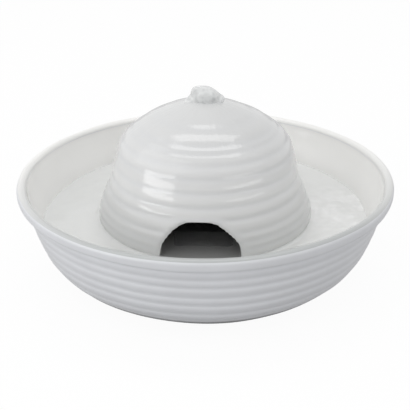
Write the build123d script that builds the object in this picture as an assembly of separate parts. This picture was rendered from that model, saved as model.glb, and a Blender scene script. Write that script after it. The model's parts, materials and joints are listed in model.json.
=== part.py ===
"""Ceramic pet water fountain: a ribbed bowl, a ribbed dome with a mousehole in its front, and a small magnet-drive
pump under the dome that lifts water through a riser tube to the outlet in the dome's top.

Millimetres, +Z up, and the mousehole faces -Y. The origin is the centre of the underside, at table level."""

from build123d import *
import math
import os

# Fits between the pieces
RUN_GAP = 0.05  # radial gap of a running fit, or of a rigid piece pushed into its hole
SOFT_GAP = 0.3  # gap round foam, and under a lid that is lifted off
SLIDE_GAP = 0.25  # gap on each side of the flow slider
OVERCUT = 1.0  # how far a cut reaches past the face that it opens

# Bowl. Its radii follow inwards from the lip, and its heights are above its own underside
PAD_STANDOFF = 1.0  # how far the silicone pads lift the bowl off the table
BOWL_LIP_R = 150.0
BOWL_H = 77.5
BOWL_BELLY_IN = 12.4  # from the lip in to the belly
BOWL_BELLY_H = 40.0
BOWL_HAUNCH_IN = 15.3  # from the belly in to the haunch, where the underside turns up
BOWL_HAUNCH_H = 13.0
BOWL_FOOT_IN = 20.3
BOWL_CORNER_W = 21.3  # from the haunch in to the flat floor
BOWL_LIP_T = 6.0
BOWL_LIP_BAND_H = 9.4
BOWL_LIP_OVERHANG = 4.5
BOWL_WALL = 8.0
BOWL_FLOOR_T = 10.0
BOWL_RIB_PITCH = 8.3
BOWL_RIB_H = 0.8
BOWL_RIB_START = 7.3  # along the meridian, from the foot to the first valley

# Silicone pads under the bowl
PAD_R = 7.0
PAD_T = 2.4
PAD_COUNT = 4
PAD_INSET = 18.0  # from the edge of the bowl's foot in to the middle of a pad

# Dome, with heights above the bowl's floor, which it stands on
DOME_H = 127.5
DOME_FOOT_T = 9.0
CORD_ROOM = 12.05  # room behind the pump's gland for the bend of a cord
DOME_BELLY_OUT = 13.4
DOME_BELLY_H = 36.0
DOME_WAIST_IN = 11.4
DOME_WAIST_H = 67.0
DOME_SHOULDER_IN = 6.2
DOME_SHOULDER_DROP = 36.5
DOME_WALL = 7.5
DOME_RIB_PITCH = 9.97
DOME_RIB_H = 1.0
DOME_RIB_START = 7.35
# Two points of the crown, as shares of the shoulder's radius and of the rise from shoulder to top
CROWN_SHAPE = ((0.67, 0.6), (0.34, 0.855))

# Openings of the dome
MOUSEHOLE_W = 61.0
MOUSEHOLE_H = 60.0
CORD_NOTCH_W = 14.0
CORD_NOTCH_H = 18.0

# Riser tube and its grommet
RISER_OD = 13.0
RISER_WALL = 1.5
RISER_PROUD = 1.5  # how far the tube stands out of the dome's top
GROMMET_WALL = 3.0
GROMMET_FLANGE_W = 3.5
GROMMET_FLANGE_T = 2.5

# Pump: shaft, bushes and washers
SHAFT_R = 1.25
BUSH_WALL = 1.05
BUSH_L = 4.0
BUSH_END_T = 1.0
WASHER_T = 0.6
WASHER_W = 0.9
AXIAL_PLAY = 0.2

# Pump: rotor
MAGNET_T = 3.3
MAGNET_L = 20.0
ROTOR_STUB_WALL = 1.9
IMPELLER_R = 10.0
IMPELLER_PLATE_T = 1.2
BLADE_COUNT = 6
BLADE_T = 1.1
BLADE_SWEEP_DEG = 32.0

# Pump: impeller chamber and front
IMPELLER_GAP = 1.6
CHAMBER_SIDE_T = 3.4
EYE_GAP = 2.65  # open ring between the eye's hub and its edge
EYE_SPOKE_COUNT = 3
EYE_SPOKE_T = 1.4
RIM_DEPTH = 6.0
RIM_T = 1.6
SEAL_W = 1.0
SEAL_LAND = 0.4  # plastic left on each side of the seal's groove
SEAL_T = 1.2
SPIGOT_L = 18.0
SPIGOT_WALL = 1.2
SPIGOT_COLLAR_H = 2.0
GRILLE_T = 2.0
GRILLE_SKIRT_L = 4.0
GRILLE_SLOT_W = 2.0
GRILLE_SLOT_H = 8.0
GRILLE_SLOT_PITCH = 4.0

# Pump: flow slider, a shutter in front of a window, a neck in the window and a keeper behind it
FLOW_WINDOW_W = 14.0
FLOW_WINDOW_H = 6.0
FLOW_WINDOW_RISE = 5.0  # from the rotor's axis up to the middle of the window
SHUTTER_W = 11.0
SHUTTER_T = 1.4
SHUTTER_LAP = 1.2  # how far the shutter and the keeper reach past the window, above and below
FLOW_NECK_W = 4.0
FLOW_NUB_H = 1.6

# Pump: motor
PUMP_WALL = 2.0
WALL_TO_COIL = 0.5
PUMP_EDGE_R = 2.5
WELL_GAP = 0.6  # water gap round the magnet
WELL_WALL = 1.2
WELL_END_WALL = 1.6  # plastic behind the rear bush
CORE_LEG_T = 6.0
CORE_WINDOW_INSET = 0.9  # how far each pole leg reaches in over the well
CORE_STACK_L = 14.0
CORE_POLE_DROP = 5.0  # how far the pole legs reach below the rotor's axis
YOKE_T = 5.0
COIL_GAP = 1.0  # from the well's top up to the coil
BOBBIN_T = 0.8
WINDING_T = 2.2
POTTING_MARGIN = 2.2
GLAND_WALL = 2.3
GLAND_BORE_R = 2.2
GLAND_COLLAR_W = 1.5
GLAND_COLLAR_T = 2.0
GLAND_IN_L = 8.0
GLAND_OUT_L = 9.0

# Pump: suction cups
CUP_H = 6.0
CUP_R = 7.0
CUP_LIP_T = 0.8
CUP_STEM_R = 2.0
CUP_STEM_L = 1.4
CUP_NECK_W = 1.4
CUP_NECK_L = 1.8
CUP_INSET = 8.0

# Foam filter, pushed over the pump's front. It goes in and out through the mousehole
FOAM_SIDE_GAP = 6.5
FOAM_TOP_GAP = 9.2
FOAM_FRONT_L = 19.0  # foam in front of the pump
FOAM_LAP = 5.0  # how far the foam reaches back over the pump
FOAM_EDGE_R = 6.0

# Heights that follow
BOWL_Z = PAD_STANDOFF
FLOOR_Z = BOWL_Z + BOWL_FLOOR_T
DOME_TOP_Z = FLOOR_Z + DOME_H
PUMP_Z = FLOOR_Z + CUP_H

# Pump radii, and places along the rotor's axis
RISER_R = RISER_OD / 2
SPIGOT_R = RISER_R - RISER_WALL - RUN_GAP
BUSH_R = SHAFT_R + BUSH_WALL
ROTOR_STUB_R = SHAFT_R + RUN_GAP + ROTOR_STUB_WALL
MAGNET_R = ROTOR_STUB_R + MAGNET_T
CHAMBER_R = IMPELLER_R + IMPELLER_GAP
CHAMBER_WALL = SEAL_W + 2 * SEAL_LAND
CHAMBER_HALF_W = CHAMBER_R + CHAMBER_SIDE_T
HUB_R = BUSH_R + RUN_GAP + EYE_SPOKE_T
EYE_R = HUB_R + EYE_GAP
AXIS_H = CHAMBER_R + CHAMBER_WALL
AXIS_Z = PUMP_Z + AXIS_H
CHAMBER_TOP_Z = AXIS_Z + AXIS_H
CHAMBER_BACK_Y = RISER_R + SLIDE_GAP
CHAMBER_FRONT_Y = -CHAMBER_BACK_Y
EYE_WALL_Y = CHAMBER_FRONT_Y - CHAMBER_WALL
RIM_Y = EYE_WALL_Y - RIM_DEPTH
GRILLE_Y = RIM_Y - GRILLE_T

WELL_R = MAGNET_R + WELL_GAP
WELL_OUT_R = WELL_R + WELL_WALL
WELL_END_Y = CHAMBER_BACK_Y + MAGNET_L + WASHER_T + 4 * AXIAL_PLAY
WELL_BACK_Y = WELL_END_Y + BUSH_L + WELL_END_WALL
ROTOR_BACK_Y = WELL_END_Y - WASHER_T - 2 * AXIAL_PLAY
MAGNET_Y = ROTOR_BACK_Y - MAGNET_L
ROTOR_FRONT_Y = CHAMBER_FRONT_Y + WASHER_T + 2 * AXIAL_PLAY
IMPELLER_BACK_Y = CHAMBER_BACK_Y - 2 * AXIAL_PLAY

# Motor and gland
COIL_BUILD = RUN_GAP + BOBBIN_T + WINDING_T
COIL_Y = CHAMBER_BACK_Y + PUMP_WALL + WALL_TO_COIL
CORE_Y = COIL_Y + COIL_BUILD
YOKE_Z = AXIS_Z + WELL_OUT_R + COIL_GAP + COIL_BUILD
YOKE_TOP_Z = YOKE_Z + YOKE_T
CORE_WINDOW_HALF_W = WELL_OUT_R - CORE_WINDOW_INSET
CORE_HALF_W = CORE_WINDOW_HALF_W + CORE_LEG_T
PUMP_HALF_W = CORE_HALF_W + POTTING_MARGIN + PUMP_WALL
PUMP_TOP_Z = YOKE_TOP_Z + COIL_BUILD + POTTING_MARGIN + PUMP_WALL
GLAND_R = GLAND_BORE_R + GLAND_WALL
GLAND_COLLAR_R = GLAND_R + GLAND_COLLAR_W
GLAND_Z = PUMP_TOP_Z - PUMP_WALL - POTTING_MARGIN - GLAND_COLLAR_R
CORE_BACK_Y = CORE_Y + CORE_STACK_L + COIL_BUILD
PUMP_BACK_Y = max(WELL_BACK_Y, CORE_BACK_Y) + GLAND_IN_L + POTTING_MARGIN

# Flow slider and foam
FLOW_WINDOW_Z = AXIS_Z + FLOW_WINDOW_RISE
SHUTTER_Y = GRILLE_Y - SLIDE_GAP - SHUTTER_T
FLOW_REST_X = -(FLOW_WINDOW_W - FLOW_NECK_W) / 2 + SLIDE_GAP
FOAM_POCKET_Y = SHUTTER_Y - FLOW_NUB_H - SOFT_GAP
FOAM_FRONT_Y = FOAM_POCKET_Y - FOAM_FRONT_L
FOAM_BACK_Y = RIM_Y + FOAM_LAP
FOAM_Z = FLOOR_Z + SOFT_GAP
FOAM_HALF_W = MOUSEHOLE_W / 2 - FOAM_SIDE_GAP
MOUSEHOLE_AT_FOAM_H = MOUSEHOLE_H - MOUSEHOLE_W / 2 + math.sqrt((MOUSEHOLE_W / 2) ** 2 - FOAM_HALF_W**2)
FOAM_TOP_Z = FLOOR_Z + MOUSEHOLE_AT_FOAM_H - FOAM_TOP_GAP

# Radii of the dome, outwards from the pump, and of the bowl
DOME_FOOT_INNER_R = PUMP_BACK_Y + GLAND_OUT_L + CORD_ROOM
DOME_FOOT_R = DOME_FOOT_INNER_R + DOME_FOOT_T
DOME_BELLY_R = DOME_FOOT_R + DOME_BELLY_OUT
DOME_WAIST_R = DOME_BELLY_R - DOME_WAIST_IN
DOME_SHOULDER_R = DOME_WAIST_R - DOME_SHOULDER_IN
OUTLET_HOLE_R = RISER_R + GROMMET_WALL
BOWL_BELLY_R = BOWL_LIP_R - BOWL_BELLY_IN
BOWL_HAUNCH_R = BOWL_BELLY_R - BOWL_HAUNCH_IN
BOWL_FLOOR_FLAT_R = BOWL_HAUNCH_R - BOWL_CORNER_W
BOWL_FOOT_R = BOWL_HAUNCH_R - BOWL_FOOT_IN
PAD_CIRCLE_R = BOWL_FOOT_R - PAD_INSET


# Shapes used by several pieces
def block(x, y, z):
    """Box between two corners, each axis given as (low, high)."""
    low, high = zip(x, y, z)
    return Pos(*[(a + b) / 2 for a, b in zip(low, high)]) * Box(*[b - a for a, b in zip(low, high)])


def rod(radius, start_y, end_y, x=0.0, z=None):
    """Cylinder along Y, on the rotor's axis unless x and z say otherwise."""
    middle = Pos(x, (start_y + end_y) / 2, AXIS_Z if z is None else z)
    return middle * Rot(X=90) * Cylinder(radius, end_y - start_y)


def post(radius, start_z, end_z):
    """Upright cylinder on the dome's axis."""
    return extrude(Pos(0, 0, start_z) * Circle(radius), end_z - start_z)


def tube(outer_r, inner_r, start_z, end_z):
    """Upright tube on the dome's axis."""
    return post(outer_r, start_z, end_z) - post(inner_r, start_z, end_z)


def spun(outline):
    """Solid of revolution about Z, from (radius, height) corners."""
    corners = [(r, 0, z) for r, z in outline]
    return revolve(make_face(Polyline(*corners, close=True)), Axis.Z)


def outward(curve, share):
    """Unit normal of a meridian curve at a share of its length, pointing away from the solid."""
    along = curve % share
    return Vector(along.Z, 0, -along.X)


def ribbed(curve, pitch, start, height, fade_in, fade_out):
    """The meridian curve with valleys between its throwing ribs, the first one start along it. They fade towards
    both ends, over the shares fade_in and fade_out of its length."""
    steps = 8 * round(curve.length / pitch)
    points = []
    for i in range(steps + 1):
        share = i / steps
        fade = min(1.0, share / fade_in, (1 - share) / fade_out)
        wave = 0.5 + 0.5 * math.cos(2 * math.pi * (share * curve.length - start) / pitch)
        points.append(curve @ share - outward(curve, share) * (height * fade * wave))
    return Spline(*points)


def inset(curve, wall, shares):
    """Points one wall thickness inside a meridian curve."""
    return [curve @ share - outward(curve, share) * wall for share in shares]


def arched_door(width, height, sill_z):
    """Upright outline of a round-topped doorway, standing on sill_z, facing -Y."""
    spring = height - width / 2
    opening = Pos(0, spring / 2) * Rectangle(width, spring) + Pos(0, spring) * Circle(width / 2)
    below = Pos(0, -OVERCUT / 2) * Rectangle(width, OVERCUT)
    return Plane.XZ * Pos(0, sill_z) * (opening + below)


# Bowl and dome
def bowl_meridian():
    neck_r = BOWL_LIP_R - BOWL_LIP_OVERHANG
    neck_z = BOWL_Z + BOWL_H - BOWL_LIP_BAND_H
    stations = [
        (BOWL_FOOT_R, 0, BOWL_Z),
        (BOWL_HAUNCH_R, 0, BOWL_Z + BOWL_HAUNCH_H),
        (BOWL_BELLY_R, 0, BOWL_Z + BOWL_BELLY_H),
        (neck_r, 0, neck_z),
    ]
    return Spline(*stations, tangents=[(1, 0, 0.35), (0.22, 0, 1)], tangent_scalars=[1, 1])


def bowl():
    meridian = bowl_meridian()
    outside = ribbed(meridian, BOWL_RIB_PITCH, BOWL_RIB_START, BOWL_RIB_H, fade_in=0.15, fade_out=0.04)
    top_z = BOWL_Z + BOWL_H
    lip_mid_r = BOWL_LIP_R - BOWL_LIP_T / 2
    lip_round_z = top_z - BOWL_LIP_T / 2
    inner_top = (BOWL_LIP_R - BOWL_LIP_T, 0, lip_round_z)
    floor_edge = (BOWL_FLOOR_FLAT_R, 0, FLOOR_Z)
    track = inset(meridian, BOWL_WALL, (0.75, 0.5))
    inside = Spline(inner_top, *track, floor_edge, tangents=[(-0.45, 0, -1), (-1, 0, 0)], tangent_scalars=[1, 1])
    rest = Polyline(floor_edge, (0, 0, FLOOR_Z), (0, 0, BOWL_Z), outside @ 0)
    throat = Polyline(outside @ 1, (lip_mid_r, 0, lip_round_z), inner_top)
    wall = make_face([outside, throat, inside, rest])
    band = SlotOverall(BOWL_LIP_BAND_H, BOWL_LIP_T, rotation=90)
    lip = Plane.XZ * Pos(lip_mid_r, top_z - BOWL_LIP_BAND_H / 2) * band
    body = revolve(wall, Axis.Z) + revolve(lip, Axis.Z)
    for place in PolarLocations(PAD_CIRCLE_R, PAD_COUNT, start_angle=180 / PAD_COUNT):
        recess = Cylinder(PAD_R, PAD_T - PAD_STANDOFF, align=(Align.CENTER, Align.CENTER, Align.MIN))
        body -= Pos(0, 0, BOWL_Z) * place * recess
    return body


def bowl_pads():
    pad = Cylinder(PAD_R - RUN_GAP, PAD_T, align=(Align.CENTER, Align.CENTER, Align.MIN))
    places = PolarLocations(PAD_CIRCLE_R, PAD_COUNT, start_angle=180 / PAD_COUNT)
    return Compound(children=[place * pad for place in places])


def dome_meridian():
    shoulder_z = DOME_TOP_Z - DOME_SHOULDER_DROP
    crown = [(r * DOME_SHOULDER_R, 0, shoulder_z + z * DOME_SHOULDER_DROP) for r, z in CROWN_SHAPE]
    stations = [
        (DOME_FOOT_R, 0, FLOOR_Z),
        (DOME_BELLY_R, 0, FLOOR_Z + DOME_BELLY_H),
        (DOME_WAIST_R, 0, FLOOR_Z + DOME_WAIST_H),
        (DOME_SHOULDER_R, 0, shoulder_z),
        *crown,
        (0, 0, DOME_TOP_Z),
    ]
    return Spline(*stations, tangents=[(0.9, 0, 1), (-1, 0, 0)], tangent_scalars=[1, 1])


def grommet_seat_z():
    """Flat seat for the grommet's flange, cut up into the dome's top from inside."""
    return DOME_TOP_Z - DOME_WALL + GROMMET_FLANGE_T / 2


def dome():
    meridian = dome_meridian()
    outside = ribbed(meridian, DOME_RIB_PITCH, DOME_RIB_START, DOME_RIB_H, fade_in=0.08, fade_out=0.3)
    foot_inside = (DOME_FOOT_INNER_R, 0, FLOOR_Z)
    top_inside = (0, 0, DOME_TOP_Z - DOME_WALL)
    track = inset(meridian, DOME_WALL, (0.84, 0.72, 0.6, 0.45, 0.32, 0.18))
    inside = Spline(top_inside, *track, foot_inside, tangents=[(1, 0, 0), (-0.5, 0, -1)], tangent_scalars=[1, 1])
    shell = revolve(
        make_face([outside, Line((0, 0, DOME_TOP_Z), top_inside), inside, Line(foot_inside, outside @ 0)]), Axis.Z
    )
    reach = DOME_BELLY_R + DOME_RIB_H
    mousehole = extrude(arched_door(MOUSEHOLE_W, MOUSEHOLE_H, FLOOR_Z), reach)
    notch = extrude(arched_door(CORD_NOTCH_W, CORD_NOTCH_H, FLOOR_Z), -reach)
    outlet = post(OUTLET_HOLE_R, grommet_seat_z(), DOME_TOP_Z + OVERCUT)
    seat = post(OUTLET_HOLE_R + GROMMET_FLANGE_W + RUN_GAP, DOME_TOP_Z - 2 * DOME_WALL, grommet_seat_z())
    return shell - mousehole - notch - outlet - seat


def outlet_grommet():
    bore = RISER_R + RUN_GAP
    seat = grommet_seat_z()
    plug = tube(OUTLET_HOLE_R - RUN_GAP, bore, seat, DOME_TOP_Z)
    flange = tube(OUTLET_HOLE_R + GROMMET_FLANGE_W, bore, seat - GROMMET_FLANGE_T, seat)
    return plug + flange


def riser_tube():
    return tube(RISER_R, RISER_R - RISER_WALL, CHAMBER_TOP_Z + SPIGOT_COLLAR_H, DOME_TOP_Z + RISER_PROUD)


# Pump: impeller chamber and front
def chamber_cover():
    width, height = 2 * CHAMBER_HALF_W, 2 * AXIS_H
    shell = block((-width / 2, width / 2), (RIM_Y, CHAMBER_BACK_Y), (PUMP_Z, PUMP_Z + height))
    front_room = block(
        (RIM_T - width / 2, width / 2 - RIM_T),
        (RIM_Y, EYE_WALL_Y),
        (PUMP_Z + RIM_T, CHAMBER_TOP_Z - RIM_T),
    )
    chamber = rod(CHAMBER_R, CHAMBER_FRONT_Y, CHAMBER_BACK_Y)
    eye = rod(EYE_R, EYE_WALL_Y, CHAMBER_FRONT_Y)
    collar = post(SPIGOT_R + RISER_WALL, CHAMBER_TOP_Z, CHAMBER_TOP_Z + SPIGOT_COLLAR_H)
    spigot = post(SPIGOT_R, CHAMBER_TOP_Z, CHAMBER_TOP_Z + SPIGOT_COLLAR_H + SPIGOT_L)
    outlet = post(SPIGOT_R - SPIGOT_WALL, AXIS_Z, CHAMBER_TOP_Z + SPIGOT_COLLAR_H + SPIGOT_L)
    body = shell + collar + spigot - front_room - chamber - eye - outlet
    hub = rod(HUB_R, CHAMBER_FRONT_Y - BUSH_L - EYE_SPOKE_T, CHAMBER_FRONT_Y)
    spoke = Pos((BUSH_R + CHAMBER_R) / 2, 0, 0) * Box(CHAMBER_R - BUSH_R, CHAMBER_WALL, EYE_SPOKE_T)
    for i in range(EYE_SPOKE_COUNT):
        turn = Rot(Y=90 + 360 * i / EYE_SPOKE_COUNT)
        body += Pos(0, CHAMBER_FRONT_Y - CHAMBER_WALL / 2, AXIS_Z) * turn * spoke
    body += hub
    body -= rod(BUSH_R + RUN_GAP, CHAMBER_FRONT_Y - BUSH_L, CHAMBER_FRONT_Y)
    return body - seal_ring(0.0)


def seal_ring(gap):
    """Flat ring round the impeller chamber's mouth, shrunk by gap where it is the seal and not its groove."""
    y = (CHAMBER_BACK_Y - SEAL_T, CHAMBER_BACK_Y)
    return rod(CHAMBER_R + SEAL_LAND + SEAL_W - gap, *y) - rod(CHAMBER_R + SEAL_LAND + gap, *y)


def chamber_seal():
    return seal_ring(RUN_GAP)


def intake_grille():
    half_w = CHAMBER_HALF_W
    plate = block((-half_w, half_w), (GRILLE_Y, RIM_Y), (PUMP_Z, CHAMBER_TOP_Z))
    step = RIM_T + RUN_GAP
    skirt = block(
        (step - half_w, half_w - step),
        (RIM_Y, RIM_Y + GRILLE_SKIRT_L),
        (PUMP_Z + step, CHAMBER_TOP_Z - step),
    )
    room = block(
        (step + RIM_T - half_w, half_w - step - RIM_T),
        (RIM_Y, RIM_Y + GRILLE_SKIRT_L),
        (PUMP_Z + step + RIM_T, CHAMBER_TOP_Z - step - RIM_T),
    )
    body = plate + (skirt - room)
    columns = int((2 * half_w - 4 * RIM_T) // GRILLE_SLOT_PITCH)
    slot = Box(GRILLE_SLOT_W, GRILLE_T, GRILLE_SLOT_H)
    slot_z = PUMP_Z + step + RIM_T + GRILLE_SLOT_H / 2
    for i in range(columns):
        x = (i - (columns - 1) / 2) * GRILLE_SLOT_PITCH
        body -= Pos(x, RIM_Y - GRILLE_T / 2, slot_z) * slot
    window = Box(FLOW_WINDOW_W, GRILLE_T, FLOW_WINDOW_H)
    return body - Pos(0, RIM_Y - GRILLE_T / 2, FLOW_WINDOW_Z) * window


def flow_slider():
    tall = FLOW_WINDOW_H / 2 + SHUTTER_LAP
    z = (FLOW_WINDOW_Z - tall, FLOW_WINDOW_Z + tall)
    neck_z = (FLOW_WINDOW_Z - FLOW_WINDOW_H / 2 + SLIDE_GAP, FLOW_WINDOW_Z + FLOW_WINDOW_H / 2 - SLIDE_GAP)
    neck_x = (FLOW_REST_X - FLOW_NECK_W / 2, FLOW_REST_X + FLOW_NECK_W / 2)
    keeper_y = RIM_Y + SLIDE_GAP
    shutter = block((FLOW_REST_X - SHUTTER_W / 2, FLOW_REST_X + SHUTTER_W / 2), (SHUTTER_Y, SHUTTER_Y + SHUTTER_T), z)
    neck = block(neck_x, (SHUTTER_Y, keeper_y + SHUTTER_T), neck_z)
    keeper = block(neck_x, (keeper_y, keeper_y + SHUTTER_T), z)
    nub = block(
        (FLOW_REST_X - FLOW_NECK_W / 4, FLOW_REST_X + FLOW_NECK_W / 4), (SHUTTER_Y - FLOW_NUB_H, SHUTTER_Y), neck_z
    )
    return shutter + neck + keeper + nub


# Pump: what turns, and what carries it
def rotor_shaft():
    in_bush = BUSH_L - BUSH_END_T
    return rod(SHAFT_R, CHAMBER_FRONT_Y - in_bush, WELL_END_Y + in_bush)


def bush(mouth_y, way):
    """Rubber bush with a blind bore for one end of the shaft. It reaches from its mouth along Y, the way given
    as -1 or 1."""
    body = rod(BUSH_R, *sorted((mouth_y, mouth_y + way * BUSH_L)))
    return body - rod(SHAFT_R + RUN_GAP, *sorted((mouth_y, mouth_y + way * (BUSH_L - BUSH_END_T))))


def front_bush():
    return bush(CHAMBER_FRONT_Y, -1)


def rear_bush():
    return bush(WELL_END_Y, 1)


def thrust_washers():
    bore_r = SHAFT_R + RUN_GAP
    starts = (CHAMBER_FRONT_Y + AXIAL_PLAY, ROTOR_BACK_Y + AXIAL_PLAY)
    rings = [rod(bore_r + WASHER_W, y, y + WASHER_T) - rod(bore_r, y, y + WASHER_T) for y in starts]
    return Compound(children=rings)


def impeller():
    plate = rod(IMPELLER_R, IMPELLER_BACK_Y - IMPELLER_PLATE_T, IMPELLER_BACK_Y)
    hub = rod(ROTOR_STUB_R, ROTOR_FRONT_Y, ROTOR_BACK_Y)
    blade_y = (ROTOR_FRONT_Y + 2 * AXIAL_PLAY, IMPELLER_BACK_Y - IMPELLER_PLATE_T / 2)
    root_r = SHAFT_R + RUN_GAP + ROTOR_STUB_WALL / 2
    blade = block((0, IMPELLER_R - root_r - BLADE_T), blade_y, (-BLADE_T / 2, BLADE_T / 2))
    wheel = plate + hub
    for i in range(BLADE_COUNT):
        turn = Rot(Y=360 * i / BLADE_COUNT)
        wheel += Pos(0, 0, AXIS_Z) * turn * Pos(root_r, 0, 0) * Rot(Y=BLADE_SWEEP_DEG) * blade
    return wheel - rod(SHAFT_R + RUN_GAP, ROTOR_FRONT_Y, ROTOR_BACK_Y)


def rotor_magnet():
    return rod(MAGNET_R, MAGNET_Y, ROTOR_BACK_Y) - rod(ROTOR_STUB_R + RUN_GAP, MAGNET_Y, ROTOR_BACK_Y)


# Pump: motor
def motor_cavity():
    """Room behind the housing's front wall that the potting fills."""
    return block(
        (PUMP_WALL - PUMP_HALF_W, PUMP_HALF_W - PUMP_WALL),
        (CHAMBER_BACK_Y + PUMP_WALL, PUMP_BACK_Y),
        (PUMP_Z + PUMP_WALL, PUMP_TOP_Z - PUMP_WALL),
    )


def pump_housing():
    outer = block((-PUMP_HALF_W, PUMP_HALF_W), (CHAMBER_BACK_Y, PUMP_BACK_Y), (PUMP_Z, PUMP_TOP_Z))
    shell = fillet(outer.edges().filter_by(Axis.Y), PUMP_EDGE_R)
    well = rod(WELL_OUT_R, CHAMBER_BACK_Y, WELL_BACK_Y) - rod(WELL_R, CHAMBER_BACK_Y, WELL_END_Y)
    well -= rod(BUSH_R + RUN_GAP, WELL_END_Y, WELL_END_Y + BUSH_L)
    body = shell - motor_cavity() - rod(WELL_R, CHAMBER_BACK_Y, WELL_END_Y) + well
    for x, y in cup_places():
        body -= Pos(x, y, PUMP_Z) * cup_hole()
    return body


def stator_core():
    """Laminated inverted U: two pole legs beside the rotor's well and a yoke above it."""
    y = (CORE_Y, CORE_Y + CORE_STACK_L)
    whole = block((-CORE_HALF_W, CORE_HALF_W), y, (AXIS_Z - CORE_POLE_DROP, YOKE_TOP_Z))
    window = block((-CORE_WINDOW_HALF_W, CORE_WINDOW_HALF_W), y, (AXIS_Z - CORE_POLE_DROP, YOKE_Z))
    return whole - window - rod(WELL_OUT_R + RUN_GAP, *y)


def yoke_sleeve(half_w, inner, outer):
    """Square sleeve round the yoke, between two distances from its faces."""

    def grown(by):
        return block((-half_w, half_w), (CORE_Y - by, CORE_Y + CORE_STACK_L + by), (YOKE_Z - by, YOKE_TOP_Z + by))

    return grown(outer) - grown(inner)


def coil_bobbin():
    half_w = CORE_WINDOW_HALF_W - RUN_GAP
    spool = yoke_sleeve(half_w, RUN_GAP, RUN_GAP + BOBBIN_T)
    cheeks = yoke_sleeve(half_w, RUN_GAP, COIL_BUILD)
    gap = yoke_sleeve(half_w - BOBBIN_T, RUN_GAP, COIL_BUILD)
    return spool + (cheeks - gap)


def coil_winding():
    return yoke_sleeve(CORE_WINDOW_HALF_W - RUN_GAP - BOBBIN_T, RUN_GAP + BOBBIN_T, COIL_BUILD)


def cable_gland():
    start = PUMP_BACK_Y - GLAND_IN_L
    body = rod(GLAND_R, start, PUMP_BACK_Y + GLAND_OUT_L, z=GLAND_Z)
    body += rod(GLAND_COLLAR_R, PUMP_BACK_Y, PUMP_BACK_Y + GLAND_COLLAR_T, z=GLAND_Z)
    return body - rod(GLAND_BORE_R, start, PUMP_BACK_Y + GLAND_OUT_L, z=GLAND_Z)


def motor_potting():
    fill = motor_cavity() - rod(WELL_OUT_R + RUN_GAP, CHAMBER_BACK_Y, WELL_BACK_Y + RUN_GAP)
    for piece in (stator_core(), yoke_sleeve(CORE_WINDOW_HALF_W, 0, COIL_BUILD)):
        fill -= piece
    return fill - rod(GLAND_R + RUN_GAP, PUMP_BACK_Y - GLAND_IN_L, PUMP_BACK_Y, z=GLAND_Z)


# Pump: suction cups
def cup_places():
    x = PUMP_HALF_W - CUP_INSET
    return [(side * x, y) for side in (-1, 1) for y in (CHAMBER_BACK_Y + CUP_INSET, PUMP_BACK_Y - CUP_INSET)]


def cup_hole():
    return Cylinder(CUP_STEM_R + RUN_GAP, CUP_STEM_L + RUN_GAP, align=(Align.CENTER, Align.CENTER, Align.MIN))


def suction_cups():
    neck_r, neck_h = CUP_STEM_R + CUP_NECK_W, CUP_H - CUP_NECK_L
    outline = [
        (0, CUP_H + CUP_STEM_L),
        (CUP_STEM_R, CUP_H + CUP_STEM_L),
        (CUP_STEM_R, CUP_H),
        (neck_r, CUP_H),
        (neck_r, neck_h),
        (CUP_R, CUP_LIP_T),
        (CUP_R, 0),
        (CUP_R - CUP_LIP_T, 0),
        (CUP_STEM_R, neck_h - 2 * CUP_LIP_T),
        (0, neck_h - 2 * CUP_LIP_T),
    ]
    cup = Pos(0, 0, FLOOR_Z) * spun(outline)
    return Compound(children=[Pos(x, y, 0) * cup for x, y in cup_places()])


# Foam filter
def foam_filter():
    outer = block((-FOAM_HALF_W, FOAM_HALF_W), (FOAM_FRONT_Y, FOAM_BACK_Y), (FOAM_Z, FOAM_TOP_Z))
    top_edges = outer.edges().filter_by(Axis.Y).group_by(Axis.Z)[-1]
    half_w = CHAMBER_HALF_W + SOFT_GAP
    pocket = block((-half_w, half_w), (FOAM_POCKET_Y, FOAM_BACK_Y), (PUMP_Z - SOFT_GAP, CHAMBER_TOP_Z + SOFT_GAP))
    return fillet(top_edges, FOAM_EDGE_R) - pocket


PIECES = (
    bowl,
    bowl_pads,
    dome,
    outlet_grommet,
    riser_tube,
    chamber_cover,
    chamber_seal,
    intake_grille,
    flow_slider,
    rotor_shaft,
    front_bush,
    rear_bush,
    thrust_washers,
    impeller,
    rotor_magnet,
    pump_housing,
    stator_core,
    coil_bobbin,
    coil_winding,
    cable_gland,
    motor_potting,
    suction_cups,
    foam_filter,
)


os.makedirs("parts", exist_ok=True)
for piece in PIECES:
    export_step(piece(), f"parts/{piece.__name__}.step")
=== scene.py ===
"""Looks of a ceramic pet water fountain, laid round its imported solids: the glazed bowl and dome with their
throwing ribs, the water in them, and the finishes of the pump and its fittings. Metres, +Z up, and the
mousehole faces -Y."""

import json
import math

import bpy
from mathutils import Matrix, Vector
from mathutils.geometry import interpolate_bezier

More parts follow.
